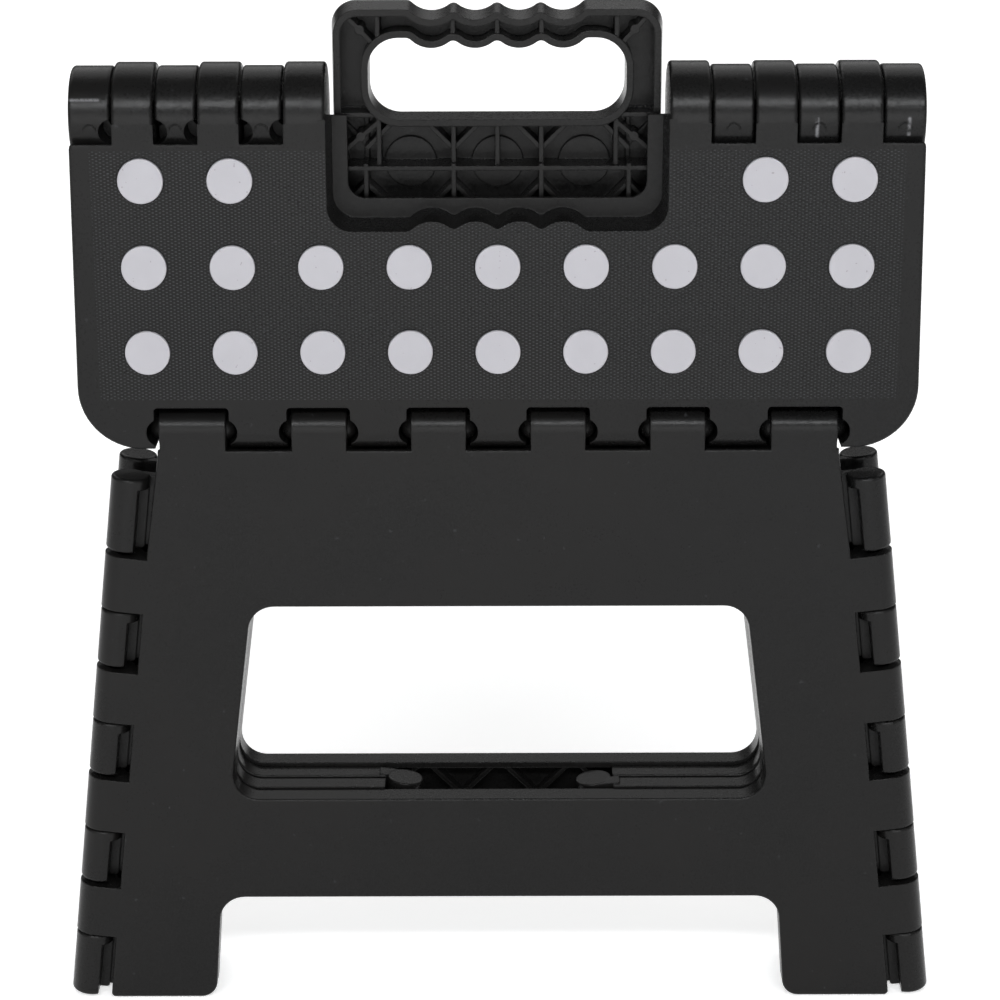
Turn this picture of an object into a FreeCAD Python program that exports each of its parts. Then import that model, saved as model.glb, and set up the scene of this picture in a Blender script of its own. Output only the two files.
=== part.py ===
"""Folding step stool, standing folded.

Eight moulded panels: two halves of the top, two legs and four side gussets.
The origin is on the floor at the middle of the folded stool. +Z is up and -Y is the front.
All sizes are in millimetres.
"""

import FreeCAD, Part

import math
import os

from FreeCAD import Vector

# ---- driving dimensions -------------------------------------------------------------------
TOP_HALF_WIDTH = 145.2      # half of the top's width along X, at the spine
HALF_DEPTH = 18.0           # spine axis to tread face, so the folded stool is twice this deep
LINK = 109.0                # spine axis to leg hinge axis, and side hinge axis to side hinge axis
HINGE_R = 7.0               # barrel radius of the leg and side hinges
LEG_REACH = 221.5           # floor to leg hinge axis
TAPER = math.atan(0.118)    # lean of the legs' sides
FLOOR_HALF_WIDTH = 154.2    # middle of the stool to the side hinge axis, at the floor
GAP = 0.6                   # clearance between a folded panel and the middle plane

SKIN = 2.6                  # plate thickness
WALL = 2.4                  # edge walls
RIB = 1.6                   # stiffening ribs

# ---- worked out from those ----------------------------------------------------------------
SPINE_Z = LEG_REACH + LINK
HINGE_Y = HALF_DEPTH - HINGE_R          # hinge axes lie this far from the middle plane
SIN, COS = math.sin(TAPER), math.cos(TAPER)
TOP_EDGE = -(LINK + HINGE_R - 1.0)      # outer edge of a top half, below the spine axis

# ---- top halves ---------------------------------------------------------------------------
TOP_FLARE = 1.6             # the sides spread this much from the spine to the outer edge
TOP_CORNER_R = 22.0
TOP_EDGE_R = 1.2
RIB_SETBACK = 1.0           # ribs end this far short of the edge walls
LEG_KNUCKLE_PITCH = 41.9
LEG_KNUCKLE_W = 19.6
END_KNUCKLE_W = 23.6
END_KNUCKLE_X = 107.2
LEG_KNUCKLES = [(sign * x, w) for sign in (-1, 1) for x, w in (
    (LEG_KNUCKLE_PITCH / 2, LEG_KNUCKLE_W),
    (LEG_KNUCKLE_PITCH * 1.5, LEG_KNUCKLE_W),
    (END_KNUCKLE_X, END_KNUCKLE_W),
)]
SLOT_GAP = 1.3
SLOT_TOP = HINGE_R + 2.1    # slots reach this far past the leg hinge axis
SLOT_CORNER_R = 1.5
HINGE_ZONE = END_KNUCKLE_X + END_KNUCKLE_W / 2 + SLOT_GAP   # the leg hinge ends here
STOP = 2.6                  # full depth of a top half starts this far inside the hinge axis
BALL_R = 4.4                # snap balls on the sides of the knuckles
BALL_INSET = 0.9
SOCKET_R = 5.0

# ---- spine --------------------------------------------------------------------------------
NOTCH_HALF = 58.2           # half width of the handle notch at the tread face
KNUCKLE_PITCH = (TOP_HALF_WIDTH - NOTCH_HALF) / 6
KNUCKLE_GAP = 0.25
FRONT_R = HALF_DEPTH        # knuckles of the front half
REAR_R = HALF_DEPTH - 1.2   # knuckles of the rear half
SLOT_R = HALF_DEPTH + 1.2
KNUCKLE_EDGE_R = 1.2
SPINE_BALL_R = 5.0
MARK_R, MARK_LINE, MARK_DEPTH, MARK_Z = 2.4, 0.45, 0.35, -2.5
SCOOP_R, SCOOP_Z = 4.4, -3.0

# ---- handle and its notch -----------------------------------------------------------------
HANDLE_HALF, HANDLE_RIM_HALF = 57.4, 56.2
HANDLE_END, HANDLE_RIM_END = 36.6, 35.2
HANDLE_RIM_Y = 3.2          # the underside of the handle, off the middle plane
HANDLE_CORNER_R = 8.5
HANDLE_ROOT = -22.0
NOTCH_CLEAR = 0.6
GROOVES, GROOVE_PITCH, GROOVE_DEPTH = 4, 15.05, 3.5
GROOVE_R, CREST_R, SHOULDER_R = 10.0, 2.5, 3.0
LIP_END, LIP_HALF, LIP_T, LIP_CORNER_R = 28.9, 51.6, 2.0, 6.0
HOLE_HALF, HOLE_TOP, HOLE_BOTTOM = 44.5, 25.6, -2.7
HOLE_TOP_R, HOLE_BOTTOM_R = 10.5, 11.0
HOLE_DRAFT = 0.2
HANDLE_RIB_X = 41.0
EJECTOR_R = 1.7

# ---- grip dots ----------------------------------------------------------------------------
DOT_PITCH_X, DOT_PITCH_Z = 30.35, 30.2
DOT_FIRST_ROW = 19.4        # below the spine axis
DOT_COLUMNS = 9
DOT_R, DOT_CLEAR, DOT_SEAT, DOT_PROUD = 7.8, 0.15, 2.0, 0.9
DOT_EDGE_R = 0.45
DOT_BOSS_R, DOT_BOSS_H = 9.0, 1.8

# ---- legs ---------------------------------------------------------------------------------
LEG_T = 9.0
LEG_TOP = LEG_REACH - HINGE_R - 0.6
LEG_LIP, LEG_LIP_T = 1.0, 2.0   # a lip along the top of the leg's skin
LEG_BOTTOM = 0.4            # the rubber pads stand this proud
WINDOW_DEPTH = 8.4          # hinge axis to the inner edge of the side windows
TOP_CORNER_GAP = 0.8        # the leg's top corners stop this far inside the hinge zone
# the four layers' hole and arch, from the front leg through the gussets to the rear leg
HOLE_TOP_Z, HOLE_BOTTOMS = 156.3, (81.2, 82.0, 82.5, 84.0)
HOLE_SIDE_AT_FLOOR, HOLE_LEAN = 109.0, 0.13
ARCH_Z, ARCH_SPREAD = 41.5, (0.0, 1.2, 2.0, 2.6)
ARCH_SIDE_AT_FLOOR, ARCH_LEAN = 106.2, 0.076
HOLE_R, ARCH_R, FOOT_R = 9.5, 9.5, 6.0
LEG_EDGE_R = 0.8
WINDOWS = ((-0.5, 26.4), (46.5, 69.2), (89.8, 112.4), (132.5, 155.7), (176.4, 205.0))
PAD_LENGTH, PAD_WIDTH, PAD_SEAT, PAD_X = 25.0, 6.0, 1.4, 124.0
FOOT_BLOCK_HALF, FOOT_BLOCK = 17.0, 3.4

# ---- side gussets -------------------------------------------------------------------------
GUSSET_T = 7.9
GUSSET_TOP = 205.0
BARREL_R, BARREL_EDGE_R = 6.9, 1.2
BARREL_PLAY, BARREL_GAP = 1.6, 0.4      # room under and over each barrel
RECESS_Q, RECESS_TOP = 3.3, 4.0         # the barrels are cored out on their inner front side
SIDE_BALL_R, SIDE_BALL_INSET = 3.2, 1.4
DIMPLE_R, DIMPLE_INSET = 3.6, 1.2       # the sockets for those balls in the leg's tabs
GUSSET_FOOT_Z = 2.6
GUSSET_EDGE = 8.4           # the gusset's plate starts this far from each hinge axis
MID_R = 6.6                 # barrel radius of the middle side hinge
MID_CLEAR = 7.3
MID_KNUCKLES = (4, 2)       # in the lower and the upper band, taken in turn by front and rear
MID_TOP = 190.0
SPINE_ROOM = 20.5           # the gussets' tops are hollowed to clear the spine when it is open
LATTICE = 28.0


# ---- small tools --------------------------------------------------------------------------
def box(x0, x1, y0, y1, z0, z1):
    return Part.makeBox(x1 - x0, y1 - y0, z1 - z0, Vector(x0, y0, z0))


def rod(x0, x1, y, z, radius):
    """A cylinder along X."""
    return Part.makeCylinder(radius, x1 - x0, Vector(x0, y, z), Vector(1, 0, 0))


def peg(x, z, y0, y1, radius):
    """A cylinder along Y."""
    return Part.makeCylinder(radius, y1 - y0, Vector(x, y0, z), Vector(0, 1, 0))


def fuse(shapes):
    shapes = list(shapes)
    return shapes[0].multiFuse(shapes[1:]) if len(shapes) > 1 else shapes[0]


def cut(shape, tools):
    return shape.cut(Part.makeCompound(list(tools)))


def mirror_x(shape):
    return shape.mirror(Vector(0, 0, 0), Vector(1, 0, 0))


def mirror_y(shape):
    return shape.mirror(Vector(0, 0, 0), Vector(0, 1, 0))


def both_sides(shape):
    return [shape, mirror_x(shape)]


def rounded_wire(corners, y=0.0):
    """A closed wire in the XZ plane through (x, z, radius) corners."""
    edges, ends = [], []
    count = len(corners)
    for i, (x, z, radius) in enumerate(corners):
        here = Vector(x, y, z)
        before = Vector(corners[i - 1][0], y, corners[i - 1][1]) - here
        after = Vector(corners[(i + 1) % count][0], y, corners[(i + 1) % count][1]) - here
        if radius <= 0:
            ends.append((here, here))
            continue
        before.normalize()
        after.normalize()
        half_angle = before.getAngle(after) / 2
        reach = radius / math.tan(half_angle)
        start, stop = here + before * reach, here + after * reach
        bisector = before + after
        bisector.normalize()
        middle = here + bisector * (radius / math.sin(half_angle) - radius)
        edges.append((i, Part.Arc(start, middle, stop).toShape()))
        ends.append((start, stop))
    arcs = dict(edges)
    path = []
    for i in range(count):
        if i in arcs:
            path.append(arcs[i])
        start, stop = ends[i][1], ends[(i + 1) % count][0]
        if start.distanceToPoint(stop) > 1e-6:
            path.append(Part.LineSegment(start, stop).toShape())
    return Part.Wire(Part.__sortEdges__(path))


def prism(wires, y0, y1):
    """Extrudes a face from y0 to y1. The first wire is its outline and any others are holes."""
    face = Part.Face([w.translated(Vector(0, y0, 0)) for w in wires])
    return face.extrude(Vector(0, y1 - y0, 0))


def inset(wire, distance):
    """The wire moved inwards by distance, or outwards if it is negative."""
    return wire.makeOffset2D(-distance, 0, False, False, False)


def ease_face_edges(solid, y, radius, keep=lambda edge: True):
    """Rounds the edges that lie in the plane at y."""
    edges = [
        e for e in solid.Edges
        if all(abs(v.Y - y) < 1e-6 for v in e.Vertexes) and keep(e)
    ]
    return solid.makeFillet(radius, edges)


def rib(x0, z0, x1, z1, y0, y1, thickness=RIB):
    """A straight rib from one point of the panel to another."""
    along = Vector(x1 - x0, 0, z1 - z0)
    bar = box(0, along.Length, y0, y1, -thickness / 2, thickness / 2)
    bar.rotate(Vector(0, 0, 0), Vector(0, 1, 0), -math.degrees(math.atan2(z1 - z0, x1 - x0)))
    return bar.translated(Vector(x0, 0, z0))


def lattice(x0, x1, z0, z1, y0, y1):
    """Crossing diagonal ribs, with a crossing at the middle of the stool."""
    height = z1 - z0
    first = math.floor((x0 - height) / LATTICE)
    last = math.ceil((x1 + height) / LATTICE)
    ribs = []
    for i in range(first, last + 1):
        x = i * LATTICE
        if x + height > x0 and x < x1:
            ribs.append(rib(x, z0, x + height, z1, y0, y1))
        if x - height < x1 and x > x0:
            ribs.append(rib(x, z0, x - height, z1, y0, y1))
    return ribs


def arc(x, z, radius, start, stop, y):
    """An arc in the XZ plane from one angle to another, in degrees."""
    angles = [math.radians(a) for a in (start, (start + stop) / 2, stop)]
    points = [Vector(x + radius * math.cos(a), y, z + radius * math.sin(a)) for a in angles]
    return Part.Arc(*points)


def joined(pieces):
    """A closed wire through arcs and points, with straight lines between them."""
    ends = [(p, p) if isinstance(p, Vector) else (p.StartPoint, p.EndPoint) for p in pieces]
    edges = []
    for i, piece in enumerate(pieces):
        if not isinstance(piece, Vector):
            edges.append(piece.toShape())
        start, stop = ends[i][1], ends[(i + 1) % len(ends)][0]
        if start.distanceToPoint(stop) > 1e-6:
            edges.append(Part.LineSegment(start, stop).toShape())
    return Part.Wire(edges)


def finger_grooves(end, y, grow):
    """The arcs of the finger grooves along a straight edge at end, from left to right."""
    between, reach = GROOVE_R + CREST_R, GROOVE_R + SHOULDER_R
    run = math.sqrt(2 * reach * GROOVE_DEPTH - GROOVE_DEPTH ** 2)
    drop = math.sqrt(between ** 2 - GROOVE_PITCH ** 2 / 4)
    out = math.degrees(math.atan2(reach - GROOVE_DEPTH, run))
    over = math.degrees(math.atan2(drop, GROOVE_PITCH / 2))
    first = -(GROOVES - 1) * GROOVE_PITCH / 2
    groove_z = end - GROOVE_DEPTH + GROOVE_R
    arcs = [arc(first - run, end - SHOULDER_R, SHOULDER_R + grow, 90, out, y)]
    for i in range(GROOVES):
        x = first + i * GROOVE_PITCH
        start = out if i == 0 else over
        stop = out if i == GROOVES - 1 else over
        arcs.append(arc(x, groove_z, GROOVE_R - grow, 180 + start, 360 - stop, y))
        if i < GROOVES - 1:
            arcs.append(arc(x + GROOVE_PITCH / 2, groove_z - drop, CREST_R + grow,
                            180 - over, over, y))
    arcs.append(arc(run - first, end - SHOULDER_R, SHOULDER_R + grow, 180 - out, 90, y))
    return arcs


def grip_edge(half, end, corner_r, y, grow):
    """The upper edge that the handle, its notch and its hand hole share, with two corners."""
    left = arc(corner_r - half, end - corner_r, corner_r + grow, 180, 90, y)
    right = arc(half - corner_r, end - corner_r, corner_r + grow, 90, 0, y)
    return [left] + finger_grooves(end, y, grow) + [right]


def grip_loft(half, rim_half, end, rim_end, y, rim_y, start, grow=0.0):
    """The drafted solid between two grip outlines, made larger all round by grow."""
    wires = []
    for h, e, at in ((half, end, y), (rim_half, rim_end, rim_y)):
        feet = [Vector(h + grow, at, start), Vector(-h - grow, at, start)]
        wires.append(joined(grip_edge(h, e, HANDLE_CORNER_R, at, grow) + feet))
    return Part.makeLoft(wires, True, True)


# ---- the top halves, built with the spine axis at the origin and the tread face at -Y ------
def knuckle_spans(first):
    """The spans along +X of every other spine knuckle, starting with the one numbered first."""
    return [
        (NOTCH_HALF + i * KNUCKLE_PITCH, NOTCH_HALF + (i + 1) * KNUCKLE_PITCH)
        for i in range(first, 6, 2)
    ]


def dot_places(row, skip_notch):
    """The grip dots' centres in one row, as (x, z) off the spine axis."""
    z = -(DOT_FIRST_ROW + row * DOT_PITCH_Z)
    columns = [(i - (DOT_COLUMNS - 1) / 2) * DOT_PITCH_X for i in range(DOT_COLUMNS)]
    limit = NOTCH_HALF + DOT_R if skip_notch and row == 0 else 0
    return [(x, z) for x in columns if abs(x) >= limit]


def top_outline(y=0.0):
    w, foot = TOP_HALF_WIDTH, TOP_HALF_WIDTH + TOP_FLARE
    return rounded_wire([
        (-w, 0, 0), (w, 0, 0), (foot, TOP_EDGE, TOP_CORNER_R), (-foot, TOP_EDGE, TOP_CORNER_R),
    ], y)


def dot_seats(dots):
    """The round seats that the grip dots sit in."""
    return [peg(x, z, -HALF_DEPTH - 1, -HALF_DEPTH + DOT_SEAT, DOT_R + DOT_CLEAR)
            for x, z in dots]


def dot_cells(dots):
    """The low slanted ribs that make an eight-sided cell round each dot's seat."""
    y0, y1 = -HALF_DEPTH + SKIN - 0.2, -GAP - RIB_SETBACK - 4.0
    reach, corner = DOT_PITCH_X / 2, DOT_PITCH_X / 5
    return [
        rib(x + sx * reach, z + sz * corner, x + sx * corner, z + sz * reach, y0, y1)
        for x, z in dots for sx in (-1, 1) for sz in (-1, 1)
    ]


def top_ribs(dots):
    """The grid of ribs under the tread."""
    y0, y1 = -HALF_DEPTH + SKIN - 0.2, -GAP - RIB_SETBACK
    low, high = -LINK + STOP, -2.0
    ribs = []
    for i in range(DOT_COLUMNS + 1):
        x = (i - DOT_COLUMNS / 2) * DOT_PITCH_X
        ribs.append(rib(x, low, x, high, y0, y1))
    half = TOP_HALF_WIDTH - WALL / 2
    for row in range(3):
        z = -(DOT_FIRST_ROW + row * DOT_PITCH_Z)
        ribs.append(rib(-half, z, half, z, y0, y1))
        if row:
            ribs.append(rib(-half, z + DOT_PITCH_Z / 2, half, z + DOT_PITCH_Z / 2, y0, y1))
    return ribs + dot_cells(dots)


def leg_slots():
    """What the leg's knuckles need room for in a top half."""
    tools = []
    for x, width in LEG_KNUCKLES:
        half = width / 2 + SLOT_GAP
        low, high = TOP_EDGE - 2, -LINK + SLOT_TOP
        tools.append(prism([rounded_wire([
            (x - half, low, 0), (x + half, low, 0),
            (x + half, high, SLOT_CORNER_R), (x - half, high, SLOT_CORNER_R),
        ])], -HALF_DEPTH - 1, 1))
        for side in (-1, 1):
            centre = x + side * (width / 2 - BALL_INSET)
            tools.append(Part.makeSphere(SOCKET_R, Vector(centre, -HINGE_Y, -LINK)))
            tools.append(peg(centre, -LINK, -HALF_DEPTH - 1, -HINGE_Y, SOCKET_R))
    return tools


def spine_knuckles(spans, radius):
    """The knuckles of one half, on both sides of the handle."""
    knuckles = []
    for x0, x1 in spans:
        outer = x1 if x1 > TOP_HALF_WIDTH - 1 else x1 - KNUCKLE_GAP
        drum = rod(x0 + KNUCKLE_GAP, outer, 0, 0, radius)
        drum = drum.makeFillet(KNUCKLE_EDGE_R, [e for e in drum.Edges if e.Closed])
        knuckles += both_sides(drum)
    return knuckles


def spine_balls(spans, radius):
    """Snap balls on both flanks of a half's knuckles, or their sockets at a larger radius."""
    balls = []
    for x0, x1 in spans:
        for x, side in ((x0 + KNUCKLE_GAP, 1), (x1 - KNUCKLE_GAP, -1)):
            if NOTCH_HALF + 1 < x < TOP_HALF_WIDTH - 1:
                balls += both_sides(Part.makeSphere(radius, Vector(x - side * BALL_INSET, 0, 0)))
    return balls


def top_half(own_spans, other_spans, own_r, skip_notch):
    """A top half without its handle or notch."""
    dots = [p for row in range(3) for p in dot_places(row, skip_notch)]
    outline = top_outline()
    envelope = ease_face_edges(
        prism([outline], -HALF_DEPTH, -GAP), -HALF_DEPTH, TOP_EDGE_R,
        lambda e: not all(abs(v.Z) < 1e-6 for v in e.Vertexes),
    )
    pocket = prism([inset(outline, WALL)], -HALF_DEPTH + SKIN, 0)
    shell = envelope.cut(pocket)
    bars = top_ribs(dots)
    bars += [peg(x, z, -HALF_DEPTH + SKIN - 0.2, -HALF_DEPTH + SKIN + DOT_BOSS_H, DOT_BOSS_R)
             for x, z in dots]
    # the wall over the leg hinge's slots, and the walls at the two ends of that hinge
    bars.append(box(-HINGE_ZONE - WALL, HINGE_ZONE + WALL, -HALF_DEPTH + 1, -GAP,
                    -LINK + STOP, -LINK + SLOT_TOP + WALL))
    bars += both_sides(box(HINGE_ZONE, HINGE_ZONE + WALL, -HALF_DEPTH + 1, -GAP,
                           TOP_EDGE + 0.4, -LINK + SLOT_TOP + 1))
    # the wall round the other half's knuckles
    ring = rod(NOTCH_HALF, TOP_HALF_WIDTH - 0.5, 0, 0, SLOT_R + WALL)
    ring = ring.common(box(0, TOP_HALF_WIDTH, -HALF_DEPTH + 1, -GAP, -40, -3))
    bars += both_sides(ring)
    shell = fuse([shell] + bars).common(envelope)
    shell = shell.cut(box(-HINGE_ZONE, HINGE_ZONE, -HALF_DEPTH - 1, 1,
                          TOP_EDGE - 2, -LINK + STOP))
    barrel = [
        rod(-HINGE_ZONE, HINGE_ZONE, -HINGE_Y, -LINK, HINGE_R),
        box(-HINGE_ZONE, HINGE_ZONE, -HALF_DEPTH, -HINGE_Y + HINGE_R, -LINK, -LINK + STOP),
    ]
    shell = fuse([shell] + barrel)
    room = [part for x0, x1 in other_spans
            for part in both_sides(rod(x0 - KNUCKLE_GAP, x1 + KNUCKLE_GAP, 0, 0, SLOT_R))]
    shell = cut(shell, leg_slots() + room + dot_seats(dots))
    return fuse([shell] + spine_knuckles(own_spans, own_r))


def notch_walls():
    """The drafted, scalloped wall of the handle's notch and the lip at its foot."""
    rear_y = -GAP
    depth = HALF_DEPTH - GAP
    draft = (HANDLE_HALF - HANDLE_RIM_HALF) / (HALF_DEPTH - HANDLE_RIM_Y)
    end_draft = (HANDLE_END - HANDLE_RIM_END) / (HALF_DEPTH - HANDLE_RIM_Y)
    half, end = NOTCH_HALF, HANDLE_END + NOTCH_CLEAR
    rear_half, rear_end = half - draft * depth, end - end_draft * depth
    flip = (Vector(0, 0, 0), Vector(0, 0, 1))
    inner = grip_loft(half, rear_half, end, rear_end, -HALF_DEPTH, rear_y, -12.0)
    outer = grip_loft(half, rear_half, end, rear_end, -HALF_DEPTH, rear_y, -12.0, WALL)
    inner, outer = inner.mirror(*flip), outer.mirror(*flip)
    lip_hole = prism([rounded_wire([
        (-LIP_HALF, 14, 0), (LIP_HALF, 14, 0),
        (LIP_HALF, -LIP_END, LIP_CORNER_R), (-LIP_HALF, -LIP_END, LIP_CORNER_R),
    ])], -HALF_DEPTH, 1)
    lip = outer.common(box(-70, 70, -GAP - LIP_T, -GAP, -60, 14)).cut(lip_hole)
    walls = fuse([outer.cut(inner), lip])
    # the walls end on a slope at the spine, so that they clear the handle as it swings
    slope = Part.Face(Part.makePolygon([
        Vector(-70, -HALF_DEPTH - 1, 1.5), Vector(-70, -1.5, 0.0), Vector(-70, 1, 0.0),
        Vector(-70, 1, 30), Vector(-70, -HALF_DEPTH - 1, 30), Vector(-70, -HALF_DEPTH - 1, 1.5),
    ])).extrude(Vector(140, 0, 0))
    return outer, walls.cut(slope)


def top_front():
    """The front half: its tread has the notch that the handle drops into."""
    own, other = knuckle_spans(0), knuckle_spans(1)
    half = top_half(own, other, FRONT_R, True)
    room, walls = notch_walls()
    half = half.cut(room.common(box(-NOTCH_HALF, NOTCH_HALF, -HALF_DEPTH - 1, 1, -60, 20)))
    half = fuse([half, walls])
    return fuse([half] + spine_balls(other, SPINE_BALL_R - 0.4))


def handle():
    """The carrying handle: a drafted shell with a hand hole, ribbed on its underside."""
    solid = grip_loft(HANDLE_HALF, HANDLE_RIM_HALF, HANDLE_END, HANDLE_RIM_END,
                      HALF_DEPTH, HANDLE_RIM_Y, HANDLE_ROOT)
    solid = ease_face_edges(solid, HALF_DEPTH, 1.0,
                            lambda e: max(v.Z for v in e.Vertexes) > HANDLE_ROOT + 1)
    cavity = grip_loft(HANDLE_HALF, HANDLE_RIM_HALF, HANDLE_END, HANDLE_RIM_END,
                       HALF_DEPTH, HANDLE_RIM_Y, HANDLE_ROOT - 4, -WALL)
    cavity = cavity.common(box(-80, 80, HANDLE_RIM_Y - 1, HALF_DEPTH - SKIN, -60, 60))
    y0, y1 = HANDLE_RIM_Y + 1.0, HALF_DEPTH - SKIN + 0.2
    row = -DOT_FIRST_ROW
    side = HANDLE_HALF - 1
    ribs = [rib(0, row, 0, HANDLE_END, y0, y1)]
    for s in (-1, 1):
        ribs.append(rib(s * DOT_PITCH_X / 2, row, s * DOT_PITCH_X / 2, HANDLE_END, y0, y1))
        ribs.append(rib(s * HANDLE_RIB_X, row, s * HANDLE_RIB_X, HANDLE_END, y0, y1))
        ribs.append(rib(s * side, HOLE_BOTTOM + 1.5, s * (HOLE_HALF - 2), HOLE_BOTTOM + 1.5, y0, y1))
        for z0, z1 in ((HANDLE_END - 2, HOLE_TOP - 4), (-14.0, HOLE_BOTTOM - 1)):
            ribs.append(rib(s * (side - 3), z0, s * HANDLE_RIB_X, z1, y0, y1))
            ribs.append(peg(s * (side - 3 + HANDLE_RIB_X) / 2, (z0 + z1) / 2, y0, y1, EJECTOR_R))
    for shape in dot_cells([p for p in dot_places(0, False) if abs(p[0]) < HANDLE_RIB_X]):
        ribs.append(mirror_y(shape))
    ribs = fuse(ribs).common(cavity)
    walls = hand_hole(WALL).common(solid)
    return fuse([solid.cut(cavity), ribs, walls])


def hand_hole(wall):
    """The hand hole, made larger all round by wall. Its upper edge follows the finger grooves."""
    wires = []
    x, z = HOLE_HALF - HOLE_BOTTOM_R, HOLE_BOTTOM + HOLE_BOTTOM_R
    for y, draft in ((HANDLE_RIM_Y - 4, 0.0), (HALF_DEPTH + 1, HOLE_DRAFT)):
        grow = wall - draft
        low_corners = [arc(x, z, HOLE_BOTTOM_R + grow, 0, -90, y),
                       arc(-x, z, HOLE_BOTTOM_R + grow, -90, -180, y)]
        wires.append(joined(grip_edge(HOLE_HALF, HOLE_TOP, HOLE_TOP_R, y, grow) + low_corners))
    return Part.makeLoft(wires, True, True)


def top_rear():
    """The rear half, which carries the handle. Built as a front half and turned round."""
    own, other = knuckle_spans(1), knuckle_spans(0)
    half = top_half(own, other, REAR_R, False)
    half = cut(half, spine_balls(own, SPINE_BALL_R))
    # room beside the handle's root for the ends of the notch's walls
    half = cut(half, both_sides(rod(HANDLE_RIM_HALF - 1.5, NOTCH_HALF + 1, 0, 0, SLOT_R)))
    half = mirror_y(half)
    inside = HANDLE_RIM_HALF - 1
    half = half.cut(box(-inside, inside, GAP - 1, HALF_DEPTH - SKIN - DOT_BOSS_H,
                        -DOT_FIRST_ROW + RIB, 1))
    half = fuse([half, handle()]).cut(hand_hole(0.0))
    # open recesses beside the snap balls of the left-hand knuckles, and ejector marks on all
    tools = [mirror_y(seat) for seat in dot_seats(dot_places(0, False))]
    for x0, x1 in own:
        for x in (x0, x1):
            if x < TOP_HALF_WIDTH - 1:
                tools.append(peg(-x, SCOOP_Z, -HALF_DEPTH - 1, -4.0, SCOOP_R))
        for middle in ((x0 + x1) / 2, -(x0 + x1) / 2):
            tools.append(peg(middle, MARK_Z, -REAR_R - 1, -REAR_R + MARK_DEPTH, MARK_R).cut(
                peg(middle, MARK_Z, -REAR_R - 1, 0, MARK_R - MARK_LINE)))
    return cut(half, tools)


def dot(x, z):
    """One grip dot, which sits in its round seat and stands proud of the tread."""
    y = -HALF_DEPTH
    cap = peg(x, z, y - DOT_PROUD, y + DOT_SEAT, DOT_R)
    return ease_face_edges(cap, y - DOT_PROUD, DOT_EDGE_R)


def place_top(shape):
    return shape.translated(Vector(0, 0, SPINE_Z))


# ---- legs and gussets, built in place ------------------------------------------------------
def hole_side(z):
    """Half width of the big hole at a height."""
    return HOLE_SIDE_AT_FLOOR - z * HOLE_LEAN


def arch_side(z, layer):
    """Half width of the arch between the feet at a height."""
    return ARCH_SIDE_AT_FLOOR - z * ARCH_LEAN + ARCH_SPREAD[layer]


def side_point(q, z):
    """X at a height, on a line parallel to the side hinge and q outside it."""
    s = (z - q * SIN) / COS
    return FLOOR_HALF_WIDTH + q * COS - s * SIN


def to_side(shape):
    """From the side hinge's own frame (X outwards, Z up its axis) to its place on the right."""
    turned = shape.copy()
    turned.rotate(Vector(0, 0, 0), Vector(0, 1, 0), -math.degrees(TAPER))
    return turned.translated(Vector(FLOOR_HALF_WIDTH, 0, 0))


def pillar(y, s0, s1, radius, q=0.0):
    """A cylinder along the side hinge, in its own frame."""
    return Part.makeCylinder(radius, s1 - s0, Vector(q, y, s0), Vector(0, 0, 1))


def hole_wire(layer):
    top, low = HOLE_TOP_Z, HOLE_BOTTOMS[layer]
    return rounded_wire([
        (-hole_side(low), low, HOLE_R), (hole_side(low), low, HOLE_R),
        (hole_side(top), top, HOLE_R), (-hole_side(top), top, HOLE_R),
    ])


def leg_outline(layer):
    side_top = WINDOWS[-1][0]
    right = [
        (HINGE_ZONE - TOP_CORNER_GAP, LEG_TOP, 0),
        (side_point(-WINDOW_DEPTH, side_top), side_top, 0),
        (side_point(-WINDOW_DEPTH, LEG_BOTTOM), LEG_BOTTOM, 1.5),
        (arch_side(LEG_BOTTOM, layer), LEG_BOTTOM, FOOT_R),
        (arch_side(ARCH_Z, layer), ARCH_Z, ARCH_R),
    ]
    return rounded_wire(right + [(-x, z, r) for x, z, r in reversed(right)])


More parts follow.
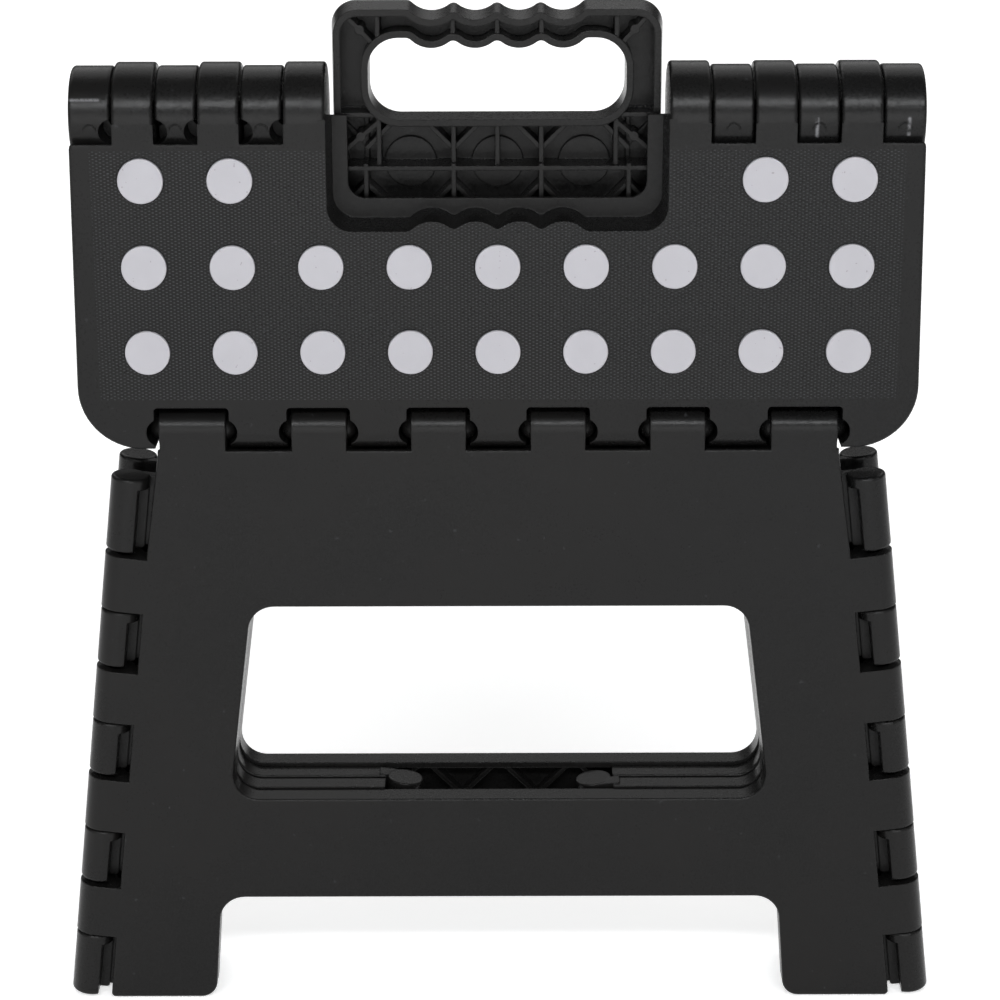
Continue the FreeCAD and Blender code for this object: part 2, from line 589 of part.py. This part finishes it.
def leg(layer):
    """A leg with its skin at the front."""
    outline, hole = leg_outline(layer), hole_wire(layer)
    front, back = -HALF_DEPTH, -HALF_DEPTH + LEG_T
    envelope = ease_face_edges(prism([outline, hole], front, back), front, LEG_EDGE_R,
                               lambda e: min(v.Z for v in e.Vertexes) < LEG_TOP - 1)
    pocket = prism([inset(outline, WALL), inset(hole, -WALL)], front + SKIN, back + 1)
    shell = envelope.cut(pocket)
    ribs = lattice(-150, 150, LEG_BOTTOM, LEG_TOP, front + SKIN - 0.2, back - 0.8)
    ribs = fuse(ribs).common(prism([inset(outline, WALL / 2), inset(hole, -WALL / 2)],
                                   front + SKIN - 0.2, back - 0.8))
    blocks = [
        box(s * PAD_X - FOOT_BLOCK_HALF, s * PAD_X + FOOT_BLOCK_HALF, front + 1, back - 0.4,
            LEG_BOTTOM + 0.5, LEG_BOTTOM + FOOT_BLOCK)
        for s in (-1, 1)
    ]
    lip_x = HINGE_ZONE - TOP_CORNER_GAP
    lip = box(-lip_x, lip_x, front, front + LEG_LIP_T, LEG_TOP - 2, LEG_TOP + LEG_LIP)
    lip = lip.makeFillet(LEG_EDGE_R, [e for e in lip.Edges if all(
        v.Z > LEG_TOP and v.Y < front + 1e-6 for v in e.Vertexes)])
    shell = fuse([shell, ribs, lip] + [b.common(envelope) for b in blocks])
    knuckles = []
    for x, width in LEG_KNUCKLES:
        drum = rod(x - width / 2, x + width / 2, -HINGE_Y, LEG_REACH, HINGE_R)
        drum = drum.makeFillet(0.6, [e for e in drum.Edges if e.Closed])
        neck = box(x - width / 2 + 0.3, x + width / 2 - 0.3, front, back, LEG_TOP - 3, LEG_REACH)
        balls = [Part.makeSphere(BALL_R, Vector(x + s * (width / 2 - BALL_INSET),
                                                -HINGE_Y, LEG_REACH)) for s in (-1, 1)]
        knuckles += [drum, neck] + balls
    tabs = []
    for low, high in zip(WINDOWS[:-1], WINDOWS[1:]):
        s0, s1 = low[1] + 0.1, high[0] - 0.1
        tab = fuse([
            pillar(-HINGE_Y, s0, s1, HINGE_R),
            box(-WINDOW_DEPTH - WALL, 0, front, back, s0, s1),
        ])
        for s, inward in ((s0, 1), (s1, -1)):
            dimple = Vector(0, -HINGE_Y, s - inward * DIMPLE_INSET)
            tab = tab.cut(Part.makeSphere(DIMPLE_R, dimple))
        tabs += both_sides(to_side(tab))
    body = fuse([shell] + knuckles + tabs)
    seats = [pad(s) for s in (-1, 1)]
    return cut(body, seats)


def pad(side):
    """The rubber pad let into the bottom of one foot."""
    y = -HALF_DEPTH + LEG_T / 2
    half_l, half_w = PAD_LENGTH / 2, PAD_WIDTH / 2
    x = side * PAD_X
    block = box(x - half_l, x + half_l, y - half_w, y + half_w, 0, LEG_BOTTOM + PAD_SEAT)
    upright = [e for e in block.Edges if abs(e.Vertexes[0].Z - e.Vertexes[-1].Z) > 1]
    block = block.makeFillet(2.0, upright)
    foot = [e for e in block.Edges if all(abs(v.Z) < 1e-6 for v in e.Vertexes)]
    return block.makeFillet(0.5, foot)


def gusset_outline(layer):
    """The right-hand gusset's plate: a column beside the leg, two bands and a foot."""
    outer, inner = -GUSSET_EDGE, -LINK + MID_CLEAR
    top_z = GUSSET_TOP * COS
    low, high = HOLE_BOTTOMS[layer], HOLE_TOP_Z + 0.8
    arch = ARCH_Z + 0.5
    corners = [
        (side_point(outer, top_z + outer * SIN), top_z + outer * SIN, 0),
        (side_point(outer, GUSSET_FOOT_Z), GUSSET_FOOT_Z, 1.5),
        (arch_side(GUSSET_FOOT_Z, layer), GUSSET_FOOT_Z, FOOT_R - 1),
        (arch_side(arch, layer), arch, ARCH_R),
        (side_point(inner, arch), arch, 0),
        (side_point(inner, low), low, 0),
        (hole_side(low), low, HOLE_R),
        (hole_side(high), high, HOLE_R),
        (side_point(inner, high), high, 0),
        (side_point(inner, top_z + inner * SIN), top_z + inner * SIN, 0),
    ]
    return rounded_wire(corners)


def mid_spans(turn, layer):
    """Spans up the middle hinge of every other knuckle, in the lower and the upper band."""
    drop = LINK * SIN
    bands = (
        ((ARCH_Z + 1.0 + drop) / COS, (HOLE_BOTTOMS[layer] + drop) / COS),
        ((HOLE_TOP_Z + 1.5 + drop) / COS, MID_TOP),
    )
    spans = []
    for (low, high), count in zip(bands, MID_KNUCKLES):
        step = (high - low) / count
        spans += [(low + i * step, low + (i + 1) * step) for i in range(turn, count, 2)]
    return spans


def side_barrel(low, high, top):
    """A gusset's barrel on the side hinge, between two of the leg's tabs, in its own frame."""
    s0, s1 = max(low + BARREL_PLAY, 1.1), high - BARREL_GAP
    drum = pillar(-HINGE_Y, s0, s1, BARREL_R)
    drum = drum.makeFillet(BARREL_EDGE_R, [e for e in drum.Edges if e.Closed])
    arm = box(-GUSSET_EDGE - WALL, 0, -GAP - GUSSET_T, -HINGE_Y + HINGE_R - 0.8, s0 + 1, s1 - 0.4)
    recess = box(-HINGE_R - 2, -RECESS_Q, -HALF_DEPTH - 1, -HINGE_Y + 1.5, s0 - 1, s1 - RECESS_TOP)
    barrel = drum.cut(recess)
    balls = [Part.makeSphere(SIDE_BALL_R, Vector(0, -HINGE_Y, s + inward * SIDE_BALL_INSET))
             for s, inward in ((s0, 1), (s1, -1)) if 2 < s < top - 2]
    return fuse([barrel, arm] + balls)


def gusset(turn, layer):
    """A right front gusset. Its outer face lies near the middle plane when it is folded."""
    outline = gusset_outline(layer)
    face, back = -GAP, -GAP - GUSSET_T
    envelope = ease_face_edges(prism([outline], back, face), face, 0.6)
    pocket = prism([inset(outline, WALL)], back - 1, face - SKIN)
    shell = envelope.cut(pocket)
    ribs = lattice(20, 150, GUSSET_FOOT_Z, GUSSET_TOP, back + 0.8, face - SKIN + 0.2)
    # the ribs, and a wall round the hollow that clears the spine's knuckles
    hollow_q, hollow_s = -LINK, LEG_REACH - HINGE_Y
    ring = to_side(Part.makeCylinder(SPINE_ROOM + WALL, GUSSET_T, Vector(hollow_q, back, hollow_s),
                                     Vector(0, 1, 0)))
    ribs = fuse(ribs + [ring.common(box(0, 160, back, face, 0, LEG_REACH))])
    ribs = ribs.common(prism([inset(outline, WALL / 2)], back + 0.8, face - SKIN + 0.2))
    parts = [shell, ribs]
    top = WINDOWS[-1][1] + layer
    for low, high in WINDOWS[:-1] + ((WINDOWS[-1][0], top),):
        parts.append(to_side(side_barrel(low, high, top)))
    for s0, s1 in mid_spans(turn, layer):
        drum = pillar(0, s0 + 0.25, s1 - 0.25, MID_R, -LINK)
        drum = drum.makeFillet(0.6, [e for e in drum.Edges if e.Closed])
        arm = box(-LINK, -LINK + MID_CLEAR + WALL, back + 2, face - 0.2, s0 + 0.45, s1 - 0.45)
        parts.append(to_side(fuse([drum, arm])))
    hollow = to_side(Part.makeCylinder(SPINE_ROOM, 60, Vector(hollow_q, -30, hollow_s),
                                       Vector(0, 1, 0)))
    return fuse(parts).cut(hollow)


# ---- all parts ------------------------------------------------------------------------------
def stool():
    """Every node's name and shape."""
    parts = {"top_front": place_top(top_front()), "top_rear": place_top(top_rear())}
    for row in range(3):
        name = f"grip_dots_row_{row + 1}"
        front = [dot(x, z) for x, z in dot_places(row, True)]
        rear = [mirror_y(dot(x, z)) for x, z in dot_places(row, False)]
        parts["front_" + name] = place_top(Part.makeCompound(front))
        parts["rear_" + name] = place_top(Part.makeCompound(rear))
    parts["leg_front"] = leg(0)
    parts["leg_rear"] = mirror_y(leg(3))
    for side, sign in (("left", -1), ("right", 1)):
        parts[f"front_{side}_foot_pad"] = pad(sign)
        parts[f"rear_{side}_foot_pad"] = mirror_y(pad(sign))
    parts["front_right_gusset"] = gusset(1, 1)
    parts["front_left_gusset"] = mirror_x(gusset(0, 1))
    parts["rear_right_gusset"] = mirror_y(gusset(0, 2))
    parts["rear_left_gusset"] = mirror_x(mirror_y(gusset(1, 2)))
    return parts


os.makedirs("parts", exist_ok=True)
for node, shape in stool().items():
    if len(shape.Solids) == 1:
        shape = shape.Solids[0]
    shape.exportStep(f"parts/{node}.step")
    print(f"{node:26s} solids {len(shape.Solids):2d} valid {shape.isValid()} "
          f"volume {shape.Volume / 1000:8.1f} cm3")
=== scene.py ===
import math

import bpy
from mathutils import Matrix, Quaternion, Vector

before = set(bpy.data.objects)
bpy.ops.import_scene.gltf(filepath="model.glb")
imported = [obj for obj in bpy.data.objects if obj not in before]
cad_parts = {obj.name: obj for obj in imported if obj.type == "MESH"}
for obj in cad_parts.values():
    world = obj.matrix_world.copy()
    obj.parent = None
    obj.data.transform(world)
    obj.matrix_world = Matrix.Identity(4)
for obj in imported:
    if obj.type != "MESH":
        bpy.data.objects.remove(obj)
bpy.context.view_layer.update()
scene = bpy.context.scene

MM = 0.001

# camera: place, aim and roll
CAMERA_PLACE = (0.00055, -0.9541, 0.5108)
CAMERA_AIM = (0.00055, 0.0, 0.1905)
CAMERA_ROLL = math.radians(-0.157)
SENSOR_WIDTH, LENS = 36.0, 100.8

# studio: the room's light on the front side and behind the stool, and the floor's finish
ROOM_FRONT, ROOM_BACK = 0.17, 0.06
WHITE = (1.0, 1.0, 1.0)
KEY_WHITE = (0.97, 0.985, 1.0)
FLOOR_REACH = 14.0
FLOOR_GREY, FLOOR_GLOW = 0.93, 0.52
STOOL_MIDDLE = (0.0, 0.0, 0.2)

# plastic colours
BLACK = (0.0054, 0.0053, 0.0052)
BLACK_WARM = (0.0066, 0.0062, 0.0059)
BLACK_COOL = (0.0047, 0.0049, 0.0051)
# scuff grey for scratches and dust; it also serves as the painted highlight on the tread's pips
SCUFF_AND_PIP_HIGHLIGHT = (0.10, 0.105, 0.11)
STRESS = (0.42, 0.42, 0.44)
DOT_GREY = (0.356, 0.349, 0.373)
DOT_SHADE = (0.328, 0.322, 0.344)
DOT_SPECK = (0.16, 0.15, 0.15)
PAD_BLACK = (0.016, 0.016, 0.017)

# shell finish
EDGE_RADIUS = 0.7 * MM
GRAIN_DEPTH = 0.06 * MM
MASK_SOFTNESS = 0.4 * MM

# rows of pips on the tread's outer face, raised by bump, with their tops painted lighter as a painted
# highlight
FACE_Y = 18.0 * MM
PIP_PITCH_X, PIP_PITCH_Z = 2.45 * MM, 0.62 * MM
PIP_AREA = ((-138.5 * MM, 138.5 * MM), (233.5 * MM, 321.5 * MM))
PIP_HEIGHT, PIP_PAINTED_HIGHLIGHT = 0.22 * MM, 0.42

# whitened streaks on the spine: middle x, middle z, half width, half height, in millimetres
STREAKS = ((108.2, 328.6, 0.5, 3.4), (139.3, 328.9, 0.5, 3.2), (-140.0, 338.3, 5.5, 0.35))
STREAK_STRENGTH = 0.32


# ---- camera -------------------------------------------------------------------------------
def look_at(obj, target):
    direction = Vector(target) - obj.location
    obj.rotation_mode = "QUATERNION"
    obj.rotation_quaternion = direction.to_track_quat("-Z", "Y")


def add_camera():
    data = bpy.data.cameras.new("camera")
    data.sensor_width = SENSOR_WIDTH
    data.lens = LENS
    data.clip_start, data.clip_end = 0.05, 50.0
    cam = bpy.data.objects.new("camera", data)
    scene.collection.objects.link(cam)
    cam.location = CAMERA_PLACE
    look_at(cam, CAMERA_AIM)
    cam.rotation_quaternion = cam.rotation_quaternion @ Quaternion((0, 0, 1), CAMERA_ROLL)
    scene.camera = cam


# ---- lights and floor ---------------------------------------------------------------------
def area_light(name, place, target, size, size_y, power, colour=WHITE):
    data = bpy.data.lights.new(name, "AREA")
    data.shape = "RECTANGLE"
    data.size, data.size_y = size, size_y
    data.energy = power
    data.color = colour
    light = bpy.data.objects.new(name, data)
    scene.collection.objects.link(light)
    light.location = place
    look_at(light, target)


def add_room():
    """A white room, brighter on the front side than behind the stool."""
    world = bpy.data.worlds.new("studio")
    world.use_nodes = True
    tree = world.node_tree
    coords = tree.nodes.new("ShaderNodeTexCoord")
    parts = tree.nodes.new("ShaderNodeSeparateXYZ")
    fall = tree.nodes.new("ShaderNodeMapRange")
    reach = ("From Min", -0.5), ("From Max", 0.6), ("To Min", ROOM_FRONT), ("To Max", ROOM_BACK)
    for name, number in reach:
        fall.inputs[name].default_value = number
    tree.links.new(coords.outputs["Generated"], parts.inputs[0])
    tree.links.new(parts.outputs["Y"], fall.inputs["Value"])
    tree.links.new(fall.outputs["Result"], tree.nodes["Background"].inputs["Strength"])
    tree.nodes["Background"].inputs["Color"].default_value = (*WHITE, 1.0)
    scene.world = world


def add_lights():
    area_light("key", (0.0, -1.9, 1.6), STOOL_MIDDLE, 2.6, 0.20, 42.0, KEY_WHITE)
    area_light("fill", (0.0, -2.1, 0.45), (0.0, 0.0, 0.15), 2.0, 0.6, 12.0)
    for name, side in (("left", -1), ("right", 1)):
        area_light(name, (side * 1.9, -0.9, 0.9), STOOL_MIDDLE, 0.5, 1.4, 3.0)
    area_light("backdrop", (0.0, 2.3, 2.2), (0.0, 2.0, 0.0), 4.5, 3.4, 56.0)


def add_floor():
    mesh = bpy.data.meshes.new("floor")
    corners = [(-1, -1), (1, -1), (1, 1), (-1, 1)]
    mesh.from_pydata([(x * FLOOR_REACH, y * FLOOR_REACH, 0) for x, y in corners], [], [(0, 1, 2, 3)])
    floor = bpy.data.objects.new("floor", mesh)
    scene.collection.objects.link(floor)
    mat = bpy.data.materials.new("floor")
    mat.use_nodes = True
    shader = mat.node_tree.nodes["Principled BSDF"]
    shader.inputs["Base Color"].default_value = (FLOOR_GREY, FLOOR_GREY, FLOOR_GREY, 1.0)
    shader.inputs["Roughness"].default_value = 0.85
    shader.inputs["Specular IOR Level"].default_value = 0.1
    shader.inputs["Emission Color"].default_value = (*WHITE, 1.0)
    shader.inputs["Emission Strength"].default_value = FLOOR_GLOW
    mesh.materials.append(mat)


# ---- materials ----------------------------------------------------------------------------
class Nodes:
    """Builds one material's node tree in short calls."""

    def __init__(self, name):
        self.mat = bpy.data.materials.new(name)
        self.mat.use_nodes = True
        self.tree = self.mat.node_tree
        self.shader = self.tree.nodes["Principled BSDF"]
        self.coords = self.tree.nodes.new("ShaderNodeTexCoord").outputs["Object"]

    def link(self, value, socket):
        """Puts a number, a colour or another node's output into a socket."""
        if isinstance(value, (int, float)):
            socket.default_value = value
        elif isinstance(value, tuple):
            socket.default_value = (*value, 1.0)
        else:
            self.tree.links.new(value, socket)

    def math(self, operation, a, b=0.0):
        node = self.tree.nodes.new("ShaderNodeMath")
        node.operation = operation
        self.link(a, node.inputs[0])
        self.link(b, node.inputs[1])
        return node.outputs[0]

    def multiply(self, a, b):
        return self.math("MULTIPLY", a, b)

    def noise(self, scale, detail=3.0, roughness=0.55, stretch=(1.0, 1.0, 1.0), distortion=0.0):
        node = self.tree.nodes.new("ShaderNodeTexNoise")
        node.inputs["Scale"].default_value = scale
        node.inputs["Detail"].default_value = detail
        node.inputs["Roughness"].default_value = roughness
        node.inputs["Distortion"].default_value = distortion
        mapping = self.tree.nodes.new("ShaderNodeMapping")
        mapping.inputs["Scale"].default_value = stretch
        self.tree.links.new(self.coords, mapping.inputs["Vector"])
        self.tree.links.new(mapping.outputs["Vector"], node.inputs["Vector"])
        return node.outputs["Fac"]

    def ramp(self, value, low, high, to_low=0.0, to_high=1.0):
        node = self.tree.nodes.new("ShaderNodeMapRange")
        node.interpolation_type = "SMOOTHSTEP"
        for name, number in (("From Min", low), ("From Max", high), ("To Min", to_low), ("To Max", to_high)):
            node.inputs[name].default_value = number
        self.link(value, node.inputs["Value"])
        return node.outputs["Result"]

    def mix(self, factor, a, b):
        node = self.tree.nodes.new("ShaderNodeMix")
        node.data_type = "RGBA"
        self.link(factor, node.inputs[0])
        self.link(a, node.inputs[6])
        self.link(b, node.inputs[7])
        return node.outputs[2]

    def axis(self):
        node = self.tree.nodes.new("ShaderNodeSeparateXYZ")
        self.tree.links.new(self.coords, node.inputs[0])
        return node.outputs["X"], node.outputs["Y"], node.outputs["Z"]

    def bump(self, height, distance, strength, normal=None):
        node = self.tree.nodes.new("ShaderNodeBump")
        node.inputs["Strength"].default_value = strength
        node.inputs["Distance"].default_value = distance
        self.link(height, node.inputs["Height"])
        if normal is not None:
            self.link(normal, node.inputs["Normal"])
        return node.outputs["Normal"]

    def soft_edges(self, radius):
        node = self.tree.nodes.new("ShaderNodeBevel")
        node.samples = 4
        node.inputs["Radius"].default_value = radius
        return node.outputs["Normal"]

    def finish(self, colour, roughness, normal, specular):
        self.link(colour, self.shader.inputs["Base Color"])
        self.link(roughness, self.shader.inputs["Roughness"])
        self.link(normal, self.shader.inputs["Normal"])
        self.shader.inputs["Specular IOR Level"].default_value = specular
        return self.mat


def box_mask(n, limits):
    """1 inside a box in the frame's X and Z, 0 outside."""
    x, _, z = n.axis()
    inside = 1.0
    for value, (low, high) in zip((x, z), limits):
        for edge, before in ((low, 0.0), (high, 1.0)):
            step = n.ramp(value, edge - MASK_SOFTNESS, edge + MASK_SOFTNESS, before, 1.0 - before)
            inside = n.multiply(inside, step)
    return inside


def tread_pips(n):
    """Rows of tiny staggered pips over the tread's middle."""
    x, y, z = n.axis()
    wave_x = n.math("COSINE", n.multiply(x, 2 * math.pi / PIP_PITCH_X))
    wave_z = n.math("COSINE", n.multiply(z, math.pi / PIP_PITCH_Z))
    pips = n.ramp(n.multiply(wave_x, wave_z), 0.35, 0.85)
    face = n.ramp(n.math("ABSOLUTE", y), FACE_Y - 0.05 * MM, FACE_Y - 0.02 * MM)
    return n.multiply(pips, n.multiply(box_mask(n, PIP_AREA), face))


def stress_marks(n):
    """Whitened streaks where the spine's knuckles have rubbed."""
    worn = n.ramp(n.noise(520.0, 3.0, 0.7), 0.32, 0.58)
    marks = 0.0
    for x, z, half_x, half_z in STREAKS:
        limits = ((x - half_x) * MM, (x + half_x) * MM), ((z - half_z) * MM, (z + half_z) * MM)
        marks = n.math("MAXIMUM", marks, box_mask(n, limits))
    front = n.ramp(n.axis()[1], -14.0 * MM, -13.0 * MM, 1.0, 0.0)
    return n.multiply(n.multiply(marks, worn), n.multiply(front, STREAK_STRENGTH))


def shell_material(name, tread=False):
    """Black moulded polypropylene: fine spark-eroded grain, cloudy tone, softened worn edges."""
    n = Nodes(name)
    clouds = n.noise(14.0, 4.0, 0.6)
    drift = n.noise(3.2, 2.0, 0.5)
    fine = n.noise(950.0, 2.0, 0.6)
    colour = n.mix(n.ramp(clouds, 0.35, 0.68), BLACK, BLACK_WARM)
    colour = n.mix(n.ramp(drift, 0.42, 0.62, 0.0, 0.5), colour, BLACK_COOL)
    scratches = n.noise(60.0, 3.0, 0.7, (1.0, 1.0, 0.12), 0.6)
    scratch = n.ramp(scratches, 0.72, 0.80, 0.0, 0.10)
    dust = n.ramp(n.noise(420.0, 1.0, 0.5), 0.76, 0.82, 0.0, 0.16)
    colour = n.mix(n.math("MAXIMUM", scratch, dust), colour, SCUFF_AND_PIP_HIGHLIGHT)
    rough = n.math("ADD", n.ramp(clouds, 0.3, 0.7, 0.26, 0.33), n.ramp(fine, 0.3, 0.7, -0.04, 0.04))
    grain = n.bump(fine, GRAIN_DEPTH, 0.7, n.soft_edges(EDGE_RADIUS))
    if tread:
        pips = tread_pips(n)
        # painted highlight: the pips' tops are painted lighter, towards the scuff grey
        colour = n.mix(n.multiply(pips, PIP_PAINTED_HIGHLIGHT), colour, SCUFF_AND_PIP_HIGHLIGHT)
        grain = n.bump(pips, PIP_HEIGHT, 0.9, grain)
        colour = n.mix(stress_marks(n), colour, STRESS)
    return n.finish(colour, rough, grain, 0.18)


def dot_material():
    """Pale grey soft plastic with faint smudges and specks."""
    n = Nodes("grip_dot")
    clouds = n.noise(55.0, 3.0, 0.6)
    specks = n.ramp(n.noise(700.0, 1.0, 0.5), 0.735, 0.775)
    smudge = n.ramp(n.noise(9.0, 3.0, 0.6), 0.45, 0.75, 0.0, 0.35)
    colour = n.mix(n.ramp(clouds, 0.35, 0.7, 0.0, 0.35), DOT_GREY, DOT_SHADE)
    colour = n.mix(smudge, colour, DOT_SHADE)
    colour = n.mix(n.multiply(specks, 0.6), colour, DOT_SPECK)
    rough = n.ramp(clouds, 0.3, 0.7, 0.50, 0.62)
    fine = n.noise(1400.0, 2.0, 0.5)
    return n.finish(colour, rough, n.bump(fine, 0.03 * MM, 0.5), 0.4)


def pad_material():
    """Matte black rubber."""
    n = Nodes("rubber")
    clouds = n.noise(40.0, 4.0, 0.6)
    colour = n.mix(n.ramp(clouds, 0.35, 0.7), PAD_BLACK, BLACK_WARM)
    fine = n.noise(900.0, 3.0, 0.6)
    return n.finish(colour, n.ramp(clouds, 0.3, 0.7, 0.75, 0.9), n.bump(fine, 0.08 * MM, 0.7), 0.35)


def dress():
    shell = shell_material("black_plastic")
    tread = shell_material("black_tread", True)
    dots, rubber = dot_material(), pad_material()
    for name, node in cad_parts.items():
        mat = shell
        if name.startswith("top_"):
            mat = tread
        if "dots" in name:
            mat = dots
        if "pad" in name:
            mat = rubber
        node.data.materials.clear()
        node.data.materials.append(mat)


scene.view_settings.view_transform = "Standard"
add_camera()
add_room()
add_lights()
add_floor()
dress()
